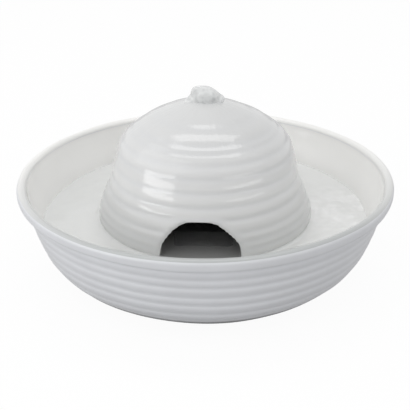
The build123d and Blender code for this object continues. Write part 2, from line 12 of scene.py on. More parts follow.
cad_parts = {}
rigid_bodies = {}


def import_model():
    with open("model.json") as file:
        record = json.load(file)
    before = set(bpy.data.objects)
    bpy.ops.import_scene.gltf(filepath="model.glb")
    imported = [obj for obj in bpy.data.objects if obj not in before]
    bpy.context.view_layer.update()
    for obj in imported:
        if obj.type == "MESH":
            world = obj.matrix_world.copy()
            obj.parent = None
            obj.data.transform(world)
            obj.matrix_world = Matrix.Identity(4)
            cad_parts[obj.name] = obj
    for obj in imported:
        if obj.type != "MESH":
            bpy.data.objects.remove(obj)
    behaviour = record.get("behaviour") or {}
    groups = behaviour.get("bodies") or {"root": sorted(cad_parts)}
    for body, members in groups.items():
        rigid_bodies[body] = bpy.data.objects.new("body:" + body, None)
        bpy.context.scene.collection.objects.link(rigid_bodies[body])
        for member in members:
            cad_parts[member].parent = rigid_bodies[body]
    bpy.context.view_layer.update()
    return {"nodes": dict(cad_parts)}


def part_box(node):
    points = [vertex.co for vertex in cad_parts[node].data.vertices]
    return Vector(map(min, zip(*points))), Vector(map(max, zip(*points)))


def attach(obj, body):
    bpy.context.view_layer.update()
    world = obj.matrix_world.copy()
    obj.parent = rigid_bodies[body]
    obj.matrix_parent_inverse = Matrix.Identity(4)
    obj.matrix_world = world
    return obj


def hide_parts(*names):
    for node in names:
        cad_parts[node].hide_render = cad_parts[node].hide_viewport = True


bl_info = {
    "name": "Ceramic pet fountain",
    "version": (1, 0, 0),
    "blender": (4, 5, 0),
    "location": "View3D > Sidebar > Fountain",
    "description": "Models and dresses a ceramic pet water fountain round its solids",
    "category": "Object",
}

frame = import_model()

MM = 0.001
MERGE = 0.01 * MM
CUT_REACH = 2.3 * MM  # how far the stepped rim of a cut lies from its edge at most
SPONGED = 8 * MM  # how far round the mousehole the ribs were smoothed away

# Meridian of the bowl's outside as (radius, height), from its foot to the neck under the lip
BOWL_MERIDIAN = (
    (102.0, 1.0),
    (112.6, 6.2),
    (122.3, 14.0),
    (131.6, 26.0),
    (137.6, 41.0),
    (141.6, 55.0),
    (145.3, 68.8),
)
# Rounding of the lip, below and above: centre and radius
BOWL_LIP_ARCS = (((147.0, 72.2), 3.0), ((146.5, 75.0), 3.5))
LIP_SIDE_POINTS = 11  # how many points of the lip face outwards
# Inside of the bowl, from the lip down to the flat of the floor
BOWL_INSIDE = (
    (143.0, 74.3),
    (139.6, 62.5),
    (134.4, 50.0),
    (127.9, 35.0),
    (118.0, 20.5),
    (109.5, 13.6),
    (101.0, 11.0),
)
FLOOR_RADII = (85, 70, 66, 50, 25, 0)
CLEAN_FLOOR_RADII = 2  # how many of them lie outside the stained floor
BOWL_VALLEYS = (14.5, 24.9, 34.4, 42.4, 51.3, 58.7, 65.8)
BOWL_VALLEY_DEPTH = 0.75
FOOT_TOP = 13.2 * MM  # how far up the bowl's foot the glaze is duller and painted dark grey as shade
# The lip's rise: its middle and width in degrees, where it begins and over what height it grows
RISE_TURN, RISE_SPREAD, RISE_FROM, RISE_OVER = 42, 22, 62 * MM, 16 * MM

# Meridian of the dome's outside, from its foot to the outlet's edge
DOME_MERIDIAN = (
    (74.0, 11.0),
    (79.4, 18.1),
    (83.7, 26.0),
    (86.5, 34.5),
    (87.6, 43.3),
    (86.4, 52.2),
    (83.3, 60.6),
    (79.6, 68.7),
    (76.1, 77.0),
    (73.8, 85.7),
    (71.5, 94.5),
    (69.0, 102.9),
    (64.3, 110.3),
    (57.8, 116.4),
    (50.5, 121.5),
    (42.6, 126.1),
    (34.4, 129.9),
    (26.0, 133.1),
    (17.6, 135.9),
    (9.0, 138.1),
    (0.0, 138.9),
)
# Heights of the valleys between the dome's throwing ribs, with how deep each is pressed
DOME_VALLEYS = (
    (17.5, 0.8),
    (26.5, 0.9),
    (35.0, 0.8),
    (42.9, 0.7),
    (49.2, 0.8),
    (54.9, 0.8),
    (61.6, 0.8),
    (70.8, 1.0),
    (79.6, 1.0),
    (89.8, 0.9),
    (99.8, 0.8),
    (108.6, 0.8),
    (115.8, 0.7),
    (119.4, 0.7),
    (128.0, 0.5),
    (131.8, 0.2),
)
# Easing of the ribs towards the bowl's sides and the dome's left: where it begins, its span and its depth
FLANK_FROM, FLANK_SPAN, FLANK_EASED = 0.42, 0.45, 0.55
LEFT_FROM, LEFT_SPAN, LEFT_EASED = 0.1, 0.35, 0.4
# Easing of the ribs at the dome's waist: its height, its spread and its depth
WAIST_Z, WAIST_SPREAD, WAIST_EASED = 92 * MM, 12 * MM, 0.45

# Hand-cut edges of the openings in the dome as (x, z), before their rounding
MOUSEHOLE_EDGE = (
    (-30.4, 9.0),
    (-30.2, 38.0),
    (-28.2, 51.5),
    (-23.8, 59.0),
    (-16.6, 66.0),
    (-10.0, 69.2),
    (0.5, 70.1),
    (10.5, 68.9),
    (17.0, 64.8),
    (26.6, 56.0),
    (29.6, 49.5),
    (29.9, 38.0),
    (30.0, 9.0),
)
NOTCH_EDGE = ((-6.6, 9.0), (-6.6, 21.5), (-4.7, 26.6), (0.0, 28.4), (4.7, 26.6), (6.6, 21.5), (6.6, 9.0))
# Outlet hole with the seat of the grommet's flange under it, as (radius, height)
OUTLET_SEAT = ((0.0, 120.0), (13.1, 120.0), (13.1, 132.3), (9.5, 132.3), (9.5, 145.0), (0.0, 145.0))
PAD_CIRCLE_R, PAD_R, PAD_RECESS_Z = 84.0, 7.05, 2.4
DOME_WATERLINE_R = 87.2 * MM
SPLASH_PLACE = (114 * MM, 6 * MM, 43 * MM)  # where the falling water stirs the pool most
POOL_MIDDLE = (0.0, 0.0, 43 * MM)
PAINTED_SHADE_SIDE = (0.12, -0.99, 0.0)  # way from the axis towards which the lip's painted shade grows

# Lumps of the water welling over the outlet: x, y, depth of the middle below its top, radius and flatness
MOUND_LUMPS = (
    (-6.3, -1.0, 5.4, 5.0, 1.0),
    (-2.4, -1.0, 4.8, 4.8, 1.0),
    (0.6, -1.0, 4.8, 4.8, 1.0),
    (3.4, -1.0, 6.4, 5.4, 1.0),
    (6.8, -1.0, 8.4, 5.2, 0.9),
    (11.0, -1.0, 10.4, 4.8, 0.8),
    (-8.4, 0.0, 10.6, 5.4, 0.7),
    (-12.0, 0.0, 13.2, 5.0, 0.6),
    (-2.0, -4.6, 8.0, 5.4, 0.8),
    (4.0, -4.4, 8.4, 5.4, 0.8),
    (0.0, 5.0, 9.0, 7.0, 0.8),
    (0.0, 0.0, 11.0, 9.0, 0.7),
)
MOUND_CELL = 0.7 * MM
MOUND_ENLARGED = 100  # metaballs have no cells under 5 mm, so they are made larger and shrunk

# Tones of pinholes and stained clay, and painted shade on the lip, feet, low walls, waterline and wet top
PAINTED_SHADE_LIP = (0.475, 0.49, 0.49)
PAINTED_FOOT_SHADE = (0.21, 0.21, 0.215)
PAINTED_LOW_SHADE = (0.35, 0.345, 0.335)
PINHOLE = (0.45, 0.43, 0.40)
STAINED_CLAY = (0.19, 0.19, 0.185)
PAINTED_WATERLINE_SHADE = (0.17, 0.175, 0.17)
PAINTED_DOME_FOOT_SHADE = (0.36, 0.37, 0.36)
WET_FILM_AND_SHADE = (0.30, 0.31, 0.31)

# Light of the white surroundings, share of the floor's own light, which keeps the ground white, and how much
# of that the glaze reflects
AMBIENT, FLOOR_GLOW, FLOOR_SHINE = 0.63, 0.95, 0.42
# Lamps: azimuth from -Y towards +X and elevation in degrees, distance, width and height in metres, and watts
LAMPS = {
    "key softbox": (-66, 38, 1.7, 2.2, 1.4, 7.3),
    "high fill softbox": (62, 48, 1.7, 1.6, 1.0, 1.5),
    "left low softbox": (-54, 3.8, 1.6, 1.22, 0.34, 4.5),
    "right low softbox": (50, 3.0, 1.6, 1.4, 0.2, 1.9),
    "top softbox": (180, 83, 1.6, 1.5, 0.55, 6.0),
}
LAMP_TARGET = (0, 0, 70 * MM)
SENSOR_WIDTH, LENS, SHIFT_X = 36.0, 68.83, -0.0009


# Sizes and colours that a user would change
def size(name, description, default):
    return bpy.props.FloatProperty(
        name=name,
        description=description,
        default=default,
        min=0.0,
        unit="LENGTH",
        subtype="DISTANCE",
        precision=4,
    )


def colour(name, description, default):
    return bpy.props.FloatVectorProperty(
        name=name, description=description, default=default, size=3, min=0.0, max=1.0, subtype="COLOR"
    )


def angle(name, description, degrees):
    default = math.radians(degrees)
    return bpy.props.FloatProperty(name=name, description=description, default=default, subtype="ANGLE")


class FountainShape(bpy.types.PropertyGroup):
    """Sizes of the modelled pieces."""

    rib_depth: size("Rib depth", "Depth of a throwing rib's valley", 0.85 * MM)
    rib_width: size("Rib valley width", "Half the width of the valley between two ribs", 2.1 * MM)
    wobble: size("Wobble", "How far the thrown walls wander from round", 0.5 * MM)
    lip_rise: size("Lip rise", "How much higher the bowl's lip is in front on the right", 1.5 * MM)
    dome_wall: size("Dome wall", "Thickness of the dome's wall", 7.5 * MM)
    edge_round: size("Edge rounding", "Rounding of the dome's cut edges under the glaze", 1.3 * MM)
    water_level: size("Water level", "Height of the water in the bowl, above the table", 43.0 * MM)
    ripple: size("Ripple", "Height of the ripples on the pool", 0.5 * MM)
    splash: size("Splash", "Height of the ripples where the water falls in", 0.9 * MM)
    meniscus: size("Meniscus", "How far the water climbs up the walls", 1.1 * MM)
    mound_top: size("Mound top", "Height of the water welling over the outlet, above the table", 149.6 * MM)


class FountainFinish(bpy.types.PropertyGroup):
    """Colours of the finishes. The glaze is lighter inside as painted light and darker on the dome as painted
    shade.
    """

    glaze: colour("Glaze", "White glaze of the bowl where it is thick", (0.88, 0.895, 0.925))
    glaze_thin: colour("Thin glaze", "Glaze of the bowl where it breaks thin", (0.68, 0.69, 0.713))
    # Lighter than the outside's glaze, as painted light
    glaze_inside: colour("Inside glaze", "White glaze inside the bowl", (0.955, 0.95, 0.932))
    # Darker than the bowl's glaze, thick and thin alike, as painted shade
    dome_glaze: colour("Dome glaze", "White glaze of the dome where it is thick", (0.70, 0.707, 0.714))
    dome_glaze_thin: colour("Thin dome glaze", "Glaze of the dome where it breaks thin", (0.72, 0.722, 0.72))
    clay: colour("Clay", "Bare clay of the foot", (0.62, 0.56, 0.48))
    foam: colour("Foam", "Filter foam", (0.006, 0.006, 0.0063))
    plastic: colour("Pump plastic", "Moulded body of the pump", (0.014, 0.015, 0.016))


class FountainStage(bpy.types.PropertyGroup):
    """Floor, lamps and camera."""

    floor: colour("Floor", "Floor and backdrop", (0.96, 0.96, 0.96))
    bounce: colour("Bounce", "Floor as it lights the fountain from below", (0.44, 0.44, 0.445))
    distance: size("Camera distance", "From the camera to the point that it looks at", 649.86 * MM)
    target_height: size("Target height", "Height of the point that the camera looks at", 47.31 * MM)
    elevation: angle("Elevation", "Camera above the horizontal", 25.575)
    turn: angle("Turn", "Camera round the fountain's axis", 2.9)
    roll: angle("Roll", "Camera about its own axis", -0.185)


# Selecting and editing, as by hand
def only(obj):
    """Makes obj the one selected and active object."""
    bpy.ops.object.select_all(action="DESELECT")
    obj.hide_viewport = False
    obj.select_set(True)
    bpy.context.view_layer.objects.active = obj
    return obj


def edit(obj, mode="VERT"):
    """Enters edit mode on obj with everything selected."""
    only(obj)
    bpy.ops.object.mode_set(mode="EDIT")
    bpy.ops.mesh.select_mode(type=mode)
    bpy.ops.mesh.select_all(action="SELECT")


def done():
    bpy.ops.object.mode_set(mode="OBJECT")


def pick(obj, kind, wanted):
    """Enters edit mode on obj with only those of a kind selected that wanted says yes to."""
    edit(obj, {"vertices": "VERT", "edges": "EDGE", "polygons": "FACE"}[kind])
    bpy.ops.mesh.select_all(action="DESELECT")
    done()
    for item in getattr(obj.data, kind):
        item.select = wanted(item)
    bpy.ops.object.mode_set(mode="EDIT")


def modify(obj, kind, **settings):
    """Adds a modifier to obj and applies it."""
    only(obj)
    modifier = obj.modifiers.new(kind.title(), kind)
    for name, value in settings.items():
        setattr(modifier, name, value)
    bpy.ops.object.modifier_apply(modifier=modifier.name)


def carve(obj, cutter):
    """Takes the cutter's volume out of obj and deletes the cutter."""
    modify(obj, "BOOLEAN", object=cutter, operation="DIFFERENCE", solver="EXACT")
    bpy.data.objects.remove(cutter)


def clouds(name, grain):
    """Soft noise for a Displace modifier, with lumps of the size grain."""
    texture = bpy.data.textures.new(name, "CLOUDS")
    texture.noise_scale = grain
    texture.noise_depth = 1
    return texture


def tidy(obj):
    """Closes seams and poles and turns the faces outwards."""
    edit(obj)
    bpy.ops.mesh.remove_doubles(threshold=MERGE)
    bpy.ops.mesh.normals_make_consistent(inside=False)
    done()


def smooth(obj, sharp):
    """Shades obj smooth, but for edges that turn by more than sharp degrees."""
    only(obj)
    bpy.ops.object.shade_smooth_by_angle(angle=math.radians(sharp))


def ramp(value, start, span):
    """0 up to start, and from there evenly up to 1 over span."""
    return min(max((value - start) / span, 0.0), 1.0)


# Smooth lines through a few points
def flowing(points, spans=12):
    """Smooth line through points given in millimetres, as a list of 2-D vectors in metres."""
    knots = [Vector(p) * MM for p in points]
    slopes = []
    for i, knot in enumerate(knots):
        before, after = knots[max(i - 1, 0)], knots[min(i + 1, len(knots) - 1)]
        slopes.append((after - before).normalized())
    line = [knots[0]]
    for a, b, slope_a, slope_b in zip(knots, knots[1:], slopes, slopes[1:]):
        reach = (b - a).length / 3
        line += interpolate_bezier(a, a + slope_a * reach, b - slope_b * reach, b, spans + 1)[1:]
    return line


def spaced(line, step):
    """The line's points respaced evenly, about step apart."""
    lengths = [0.0]
    for a, b in zip(line, line[1:]):
        lengths.append(lengths[-1] + (b - a).length)
    count = max(2, round(lengths[-1] / step))
    points, i = [], 0
    for k in range(count + 1):
        at = lengths[-1] * k / count
        while i < len(line) - 2 and lengths[i + 1] < at:
            i += 1
        points.append(line[i].lerp(line[i + 1], (at - lengths[i]) / (lengths[i + 1] - lengths[i])))
    return points


def arc(centre, radius, start, end, steps):
    """Points along a circle in degrees, centre and radius in millimetres."""
    angles = [math.radians(start + (end - start) * i / steps) for i in range(steps + 1)]
    return [Vector((centre[0] + radius * math.cos(a), centre[1] + radius * math.sin(a))) * MM for a in angles]


def press(point, valleys, width):
    """How far a rib's valley is pressed in at a point, from 0 to 1."""
    return max([depth * math.exp(-(((point.y - z * MM) / width) ** 2)) for z, depth in valleys] + [0.0])


def drawn(name, points, weights=None, coated=None):
    """Line of edges in the XZ plane, one vertex extruded through (radius, height) points. The weights are in
    the group ribs. They or coated are the attribute pressed, where the glaze lies thick."""
    bpy.ops.object.select_all(action="DESELECT")
    bpy.ops.mesh.primitive_plane_add(size=MM)
    obj = bpy.context.object
    obj.name = obj.data.name = name
    edit(obj)
    bpy.ops.mesh.merge(type="CENTER")
    bpy.ops.transform.translate(value=(points[0].x, 0, points[0].y))
    for a, b in zip(points, points[1:]):
        step = b - a
        bpy.ops.mesh.extrude_region_move(TRANSFORM_OT_translate={"value": (step.x, 0, step.y)})
    done()
    if weights:
        ribs = obj.vertex_groups.new(name="ribs")
        for i, weight in enumerate(weights):
            ribs.add([i], weight, "REPLACE")
        obj.data.attributes.new("pressed", "FLOAT", "POINT").data.foreach_set("value", coated or weights)
    return obj


def thrown(obj, steps):
    """Turns a drawn line round the Z axis, as on a wheel."""
    edit(obj)
    bpy.ops.mesh.spin(steps=steps, angle=math.tau, center=(0, 0, 0), axis=(0, 0, 1))
    done()
    tidy(obj)


def wander(obj, shape):
    """Slow unevenness of a hand-thrown wall."""
    modify(
        obj,
        "DISPLACE",
        texture=clouds(f"{obj.name} wander", 60 * MM),
        texture_coords="LOCAL",
        strength=2 * shape.wobble,
        mid_level=0.5,
    )


# Materials
class Wire:
    """One output of a shader node. Sums on wires add Math nodes."""

    def __init__(self, finish, socket):
        self.finish, self.socket = finish, socket

    def math(self, operation, *values):
        return self.finish.node("Math", {"operation": operation}, dict(enumerate(values)))

    def __add__(self, other):
        return self.math("ADD", self, other)

    def __sub__(self, other):
        return self.math("SUBTRACT", self, other)

    def __rsub__(self, other):
        return self.math("SUBTRACT", other, self)

    def __mul__(self, other):
        return self.math("MULTIPLY", self, other)

    def __truediv__(self, other):
        return self.math("DIVIDE", self, other)

    def __pow__(self, other):
        return self.math("POWER", self, other)

    __radd__ = __add__
    __rmul__ = __mul__

    def or_more(self, other):
        """The larger of this and another."""
        return self.math("MAXIMUM", self, other)

    def above(self, edge, softness):
        """0 below edge and 1 above it, with a soft step."""
        settings = {"interpolation_type": "SMOOTHSTEP"}
        return self.finish.node("MapRange", settings, {"Value": self, 1: edge - softness, 2: edge + softness})


class Finish:
    """A material and its nodes."""

    def __init__(self, name):
        self.material = bpy.data.materials.new(name)
        self.material.use_nodes = True
        self.tree = self.material.node_tree
        self.tree.nodes.clear()
        self.place = self.node("TexCoord", output="Object")

    def node(self, kind, settings=None, sockets=None, output=0):
        """Adds a node, with its settings and the values or wires of its sockets. Returns one output."""
        made = self.tree.nodes.new("ShaderNode" + kind)
        for name, value in (settings or {}).items():
            setattr(made, name, value)
        for name, value in (sockets or {}).items():
            if isinstance(value, Wire):
                self.tree.links.new(value.socket, made.inputs[name])
            elif value is not None:
                socket = made.inputs[name]
                wide = getattr(socket, "type", "") == "RGBA" and len(value) == 3
                socket.default_value = (*value, 1.0) if wide else value
        return Wire(self, made.outputs[output]) if made.outputs else None

    def noise(self, grain, detail=2.0, roughness=0.5, stretch=None):
        """Noise from 0 to 1 with lumps of the size grain in metres."""
        place = self.place
        if stretch:
            place = self.node("Mapping", None, {"Vector": place, "Scale": stretch})
        return self.node(
            "TexNoise", None, {"Vector": place, "Scale": 1 / grain, "Detail": detail, "Roughness": roughness}
        )

    def streaks(self, count, length):
        """Noise drawn out down the walls, as water runs: about count streaks of one length round the axis."""
        flat = self.node("VectorMath", {"operation": "MULTIPLY"}, {0: self.place, 1: (1, 1, 0)})
        way = self.node("VectorMath", {"operation": "NORMALIZE"}, {0: flat})
        spread = self.node("VectorMath", {"operation": "SCALE"}, {0: way, "Scale": count / math.tau})
        fall = self.node("CombineXYZ", None, {"Z": self.height() / length})
        place = self.node("VectorMath", {"operation": "ADD"}, {0: spread, 1: fall})
        return self.node("TexNoise", None, {"Vector": place, "Scale": 1.0, "Detail": 2.0})

    def mix(self, factor, low, high):
        """Colour between two others."""
        return self.node("Mix", {"data_type": "RGBA"}, {0: factor, 6: low, 7: high}, output=2)

    def height(self):
        return self.node("SeparateXYZ", None, {0: self.place}, output=2)

    def bump(self, height, depth, under=None):
        sockets = {"Height": height, "Distance": depth, "Strength": 1.0, "Normal": under}
        return self.node("Bump", None, sockets)

    def distance(self, place):
        """How far the surface is from a place."""
        return self.node("VectorMath", {"operation": "DISTANCE"}, {0: self.place, 1: place}, output="Value")

    def along(self, way):
        """How far the surface lies out on a way from the axis."""
        return self.node("VectorMath", {"operation": "DOT_PRODUCT"}, {0: self.place, 1: way}, output="Value")

    def surface(self, **sockets):
        """The principled shader, its sockets named with underscores."""
        sockets = {name.replace("_", " "): value for name, value in sockets.items()}
        return self.node("BsdfPrincipled", None, sockets)

    def finished(self, shader):
        self.node("OutputMaterial", None, {"Surface": shader})
        return self.material


def glaze_finish(name, thick, thin, bare_clay, foot_z, inner=None, water_z=None):
    """Glossy white glaze: thin over the ribs' crests and thick and cooler in their valleys, with a faint
    orange peel, drifts of thickness and a few pinholes. The clay is bare below foot_z, and painted shade
    darkens the wall just above it. Where the attribute pressed is below zero it is a lip, painted lighter at
    the back and darker towards the front, as light and shade, and from -0.75 down the clay is bare and water
    has stained it. With inner, it is the bowl: its inside, where pressed is over 1, is coloured inner,
    lighter as painted light, and glossier, and its foot is duller and painted dark grey as shade. With
    water_z, it is
    the dome: a thin dark line is painted at that height as shade where the water meets it, painted shade
    darkens the dome towards its foot, and water runs down from the top as a film, tinted grey as painted
    shade."""
    finish = Finish(name)
    pressed = finish.node("Attribute", {"attribute_name": "pressed"}, output="Fac")
    drift = finish.noise(45 * MM, detail=3.0)
    cloud = finish.noise(9 * MM, detail=4.0, roughness=0.6)
    thickness = pressed * 0.6 + drift * 0.35 + cloud * 0.15
    pinhole = finish.node("TexVoronoi", None, {"Vector": finish.place, "Scale": 1 / (14 * MM)})
    pin = 1 - pinhole.above(0.025, 0.015)
    body = finish.mix(thickness.above(0.45, 0.45), thin, thick)
    body = finish.mix(pin * 0.25, body, PINHOLE)
    # Painted light and shade: the lip is lighter at the back and darkens towards the front
    worn = finish.along(PAINTED_SHADE_SIDE).above(44 * MM, 103 * MM)
    lip = finish.mix(worn, [0.94 * c for c in inner or thick], PAINTED_SHADE_LIP)
    body = finish.mix(1 - pressed.above(-0.15, 0.14), body, lip)
    height = finish.height()
    rough = 0.10 + 0.04 * cloud
    stained = 1 - pressed.above(-0.6, 0.25)
    if inner:
        within = pressed.above(1.1, 0.25)
        # Painted shade: the bowl's foot below FOOT_TOP is painted dark grey, and its glaze is duller
        dull_foot_and_shade = (1 - height.above(FOOT_TOP, 2 * MM)) * (1 - within) * (1 - stained)
        body = finish.mix(within, body, inner)
        body = finish.mix(dull_foot_and_shade * 0.9, body, PAINTED_FOOT_SHADE)
        rough = rough + 0.18 * (1 - within) + 0.4 * dull_foot_and_shade
    # Painted shade: the walls darken towards the foot
    low = 1 - height.above(foot_z + 8 * MM, 9 * MM)
    body = finish.mix(low * 0.45, body, PAINTED_LOW_SHADE)
    bare = stained.or_more(1 - height.above(foot_z, 0.2 * MM))
    grit = finish.noise(0.9 * MM, detail=3.0)
    clay = finish.mix(grit, [0.85 * c for c in bare_clay], bare_clay)
    clay = finish.mix(stained * (0.85 + 0.3 * drift), clay, STAINED_CLAY)
    peel = finish.bump(finish.noise(7 * MM, detail=1.0) * (1 - bare), 0.05 * MM)
    fine = finish.bump(finish.noise(2.2 * MM, detail=1.0) * (1 - bare) - pin * 2.0, 0.012 * MM, peel)
    if water_z:
        # Painted shade: a thin dark line where the water meets the dome
        away = height - water_z
        line = 1 - away.math("ABSOLUTE", away).above(0.9 * MM, 0.5 * MM)
        body = finish.mix(line * (0.6 + 0.4 * drift), body, PAINTED_WATERLINE_SHADE)
        # Painted shade: the dome darkens towards its foot
        dome_foot_shade = 1 - height.above(64 * MM, 30 * MM)
        body = finish.mix(dome_foot_shade * 0.32, body, PAINTED_DOME_FOOT_SHADE)
        # Wet streaks run down the top, which is tinted grey as painted shade
        wet = height.above(108 * MM, 14 * MM)
        body = finish.mix(wet * 0.14, body, WET_FILM_AND_SHADE)
        fine = finish.bump(finish.streaks(60, 30 * MM) * wet, 0.35 * MM, fine)
    relief = finish.bump(grit * bare, 0.12 * MM, fine)
    return finish.finished(
        finish.surface(
            Base_Color=finish.mix(bare, body, clay),
            Roughness=rough + bare * 0.6,
            IOR=1.52,
            Normal=relief,
        )
    )


def water_finish(name, bubbles):
    """Clear water, as cloudy and in the tone that bubbles says. Lamps and the light that bounces below it
    pass straight through."""
    finish = Finish(name)
    ripple = finish.bump(finish.noise(6 * MM, detail=2.0), 0.15 * MM)
    clear = finish.surface(
        Base_Color=(0.97, 0.985, 0.985), Roughness=0.0, IOR=1.333, Transmission_Weight=1.0, Normal=ripple
    )
    white, tone = bubbles(finish)
    cloudy = finish.surface(Base_Color=tone, Roughness=0.08, IOR=1.333, Normal=ripple)
    water = finish.node("MixShader", None, {0: white, 1: clear, 2: cloudy})
    unseen = finish.node("BsdfTransparent", None, {"Color": (0.97, 0.98, 0.98)})
    shadow = finish.node("LightPath", output="Is Shadow Ray")
    diffuse = finish.node("LightPath", output="Is Diffuse Ray")
    return finish.finished(finish.node("MixShader", None, {0: shadow.or_more(diffuse), 1: water, 2: unseen}))


def pool_bubbles(finish):
    """Fine air all through the pool, less under the dome, and froth and a painted highlight where water falls
    in.
    """
    outside = finish.distance(POOL_MIDDLE).above(85 * MM, 4 * MM)
    stirred = 1 - finish.distance(SPLASH_PLACE).above(34 * MM, 20 * MM)
    # Whiter patches where water falls in: froth, and a painted highlight of the ripples
    froth_and_glint = finish.noise(13 * MM, detail=1.0).above(0.52, 0.2)
    return 0.28 + outside * 0.2 + stirred * froth_and_glint * 0.3, (0.88, 0.885, 0.885)


def mound_bubbles(finish):
    """Air drawn in by the pump, unevenly mixed into the welling water."""
    lump = finish.noise(5 * MM, detail=1.0)
    tone = finish.mix(lump.above(0.56, 0.1) * 0.4, (0.80, 0.805, 0.805), (0.47, 0.48, 0.48))
    return 0.6 + 0.3 * lump, tone


def moulded_finish(name, colour_, roughness, grain=0.5, depth=0.03, drift=0.12):
    """Moulded plastic: a fine spark-eroded grain, and slight drifts of colour and gloss."""
    finish = Finish(name)
    cloud = finish.noise(14 * MM, detail=3.0)
    spark = finish.noise(grain * MM, detail=2.0)
    tone = finish.mix(cloud, [c * (1 - drift) for c in colour_], [min(1.0, c * (1 + drift)) for c in colour_])
    return finish.finished(
        finish.surface(
            Base_Color=tone,
            Roughness=roughness + 0.1 * (spark - 0.5) + 0.06 * (cloud - 0.5),
            IOR=1.5,
            Normal=finish.bump(spark, depth * MM),
        )
    )


def rubber_finish(name, colour_, roughness=0.55, dust=0.25):
    """Rubber with a bloom of dust and a soft skin."""
    finish = Finish(name)
    cloud = finish.noise(5 * MM, detail=4.0, roughness=0.65)
    pale = [c + dust * (0.4 - c) * 0.5 for c in colour_]
    return finish.finished(
        finish.surface(
            Base_Color=finish.mix(cloud.above(0.55, 0.2), colour_, pale),
            Roughness=roughness + 0.15 * cloud,
            IOR=1.5,
            Normal=finish.bump(finish.noise(0.8 * MM), 0.02 * MM),
        )
    )


def clear_finish(name, tint, cloudiness):
    """Clear soft tube or silicone, a little cloudy, with faint drawing lines along it."""
    finish = Finish(name)
    lines = finish.noise(1.2 * MM, detail=2.0, stretch=(1.0, 1.0, 0.06))
    body = finish.surface(
        Base_Color=finish.mix(lines, tint, [min(1.0, t * 1.08) for t in tint]),
        Roughness=0.16 + 0.12 * lines,
        IOR=1.42,
        Normal=finish.bump(lines, 0.04 * MM),
    )
    clear = finish.node("BsdfTransparent", None, {"Color": (0.93, 0.95, 0.95)})
    return finish.finished(finish.node("MixShader", None, {0: cloudiness, 1: clear, 2: body}))


def metal_finish(name, colour_, roughness, stretch, grain=0.6, depth=0.02, metallic=1.0):
    """Metal with fine marks that run one way."""
    finish = Finish(name)
    marks = finish.noise(grain * MM, detail=3.0, stretch=stretch)
    stain = finish.noise(6 * MM, detail=3.0)
    return finish.finished(
        finish.surface(
            Base_Color=finish.mix(marks * 0.5 + stain * 0.5, [c * 0.78 for c in colour_], colour_),
            Metallic=metallic,
            Roughness=roughness + 0.15 * marks,
            Normal=finish.bump(marks, depth * MM),
        )
    )


def striped_finish(name, colour_, gap_colour, pitch, axis, metallic, roughness, depth):
    """Stacked sheets or wound wire: rounded stripes across one axis."""
    finish = Finish(name)
    turn = finish.node("SeparateXYZ", None, {0: finish.place}, output=axis) * (math.tau / pitch)
    wave = turn.math("SINE", turn) * 0.5 + 0.5
    stain = finish.noise(4 * MM, detail=3.0)
    return finish.finished(
        finish.surface(
            Base_Color=finish.mix(wave ** 0.5 * (0.8 + 0.2 * stain), gap_colour, colour_),
            Metallic=metallic,
            Roughness=roughness + 0.12 * stain,
            Normal=finish.bump(wave, depth),
        )
    )


def foam_finish(colours):
    """Open-cell foam: round pores of two sizes with thin struts between."""
    finish = Finish("charcoal filter foam")
    coarse = finish.node(
        "TexVoronoi", {"feature": "DISTANCE_TO_EDGE"}, {"Vector": finish.place, "Scale": 1 / (1.9 * MM)}
    )
    fine = finish.node(
        "TexVoronoi", {"feature": "DISTANCE_TO_EDGE"}, {"Vector": finish.place, "Scale": 1 / (0.9 * MM)}
    )
    strut = (1 - coarse.above(0.12, 0.1)) * 0.7 + (1 - fine.above(0.1, 0.09)) * 0.3
    pale = [c * 2.6 for c in colours.foam]
    return finish.finished(
        finish.surface(
            Base_Color=finish.mix(strut, [c * 0.4 for c in colours.foam], pale),
            Roughness=0.9,
            IOR=1.4,
            Normal=finish.bump(strut, 0.6 * MM),
        )
    )


def dress(obj, material):
    """Gives obj the one material."""
    obj.data.materials.clear()
    obj.data.materials.append(material)


def settle(obj, body, replaces=()):
    """Fixes a finished piece to the body that it moves with."""
    only(obj)
    bpy.ops.object.transform_apply(location=True, rotation=True, scale=True)
    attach(obj, body)
    if replaces:
        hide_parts(*replaces)


# Pieces
def in_valleys(obj):
    """Yields the vertices in the ribs' valleys, each with its entry in the group ribs."""
    ribs = obj.vertex_groups["ribs"].index
    for v in obj.data.vertices:
        for entry in v.groups:
            if entry.group == ribs and entry.weight > 0:
                yield v, entry


def eased(bowl):
    """Eases the bowl's ribs, and the glaze that gathers in them, on its two flanks; the thinner glaze is
    painted shade.
    """
    pressed = bowl.data.attributes["pressed"].data
    for v, rib in in_valleys(bowl):
        flank = ramp(abs(v.co.x) / math.hypot(v.co.x, v.co.y), FLANK_FROM, FLANK_SPAN)
        rib.weight *= 1 - FLANK_EASED * flank
        # The glaze thinned on the flanks paints them darker, as painted shade
        pressed[v.index].value *= 1 - FLANK_EASED * flank


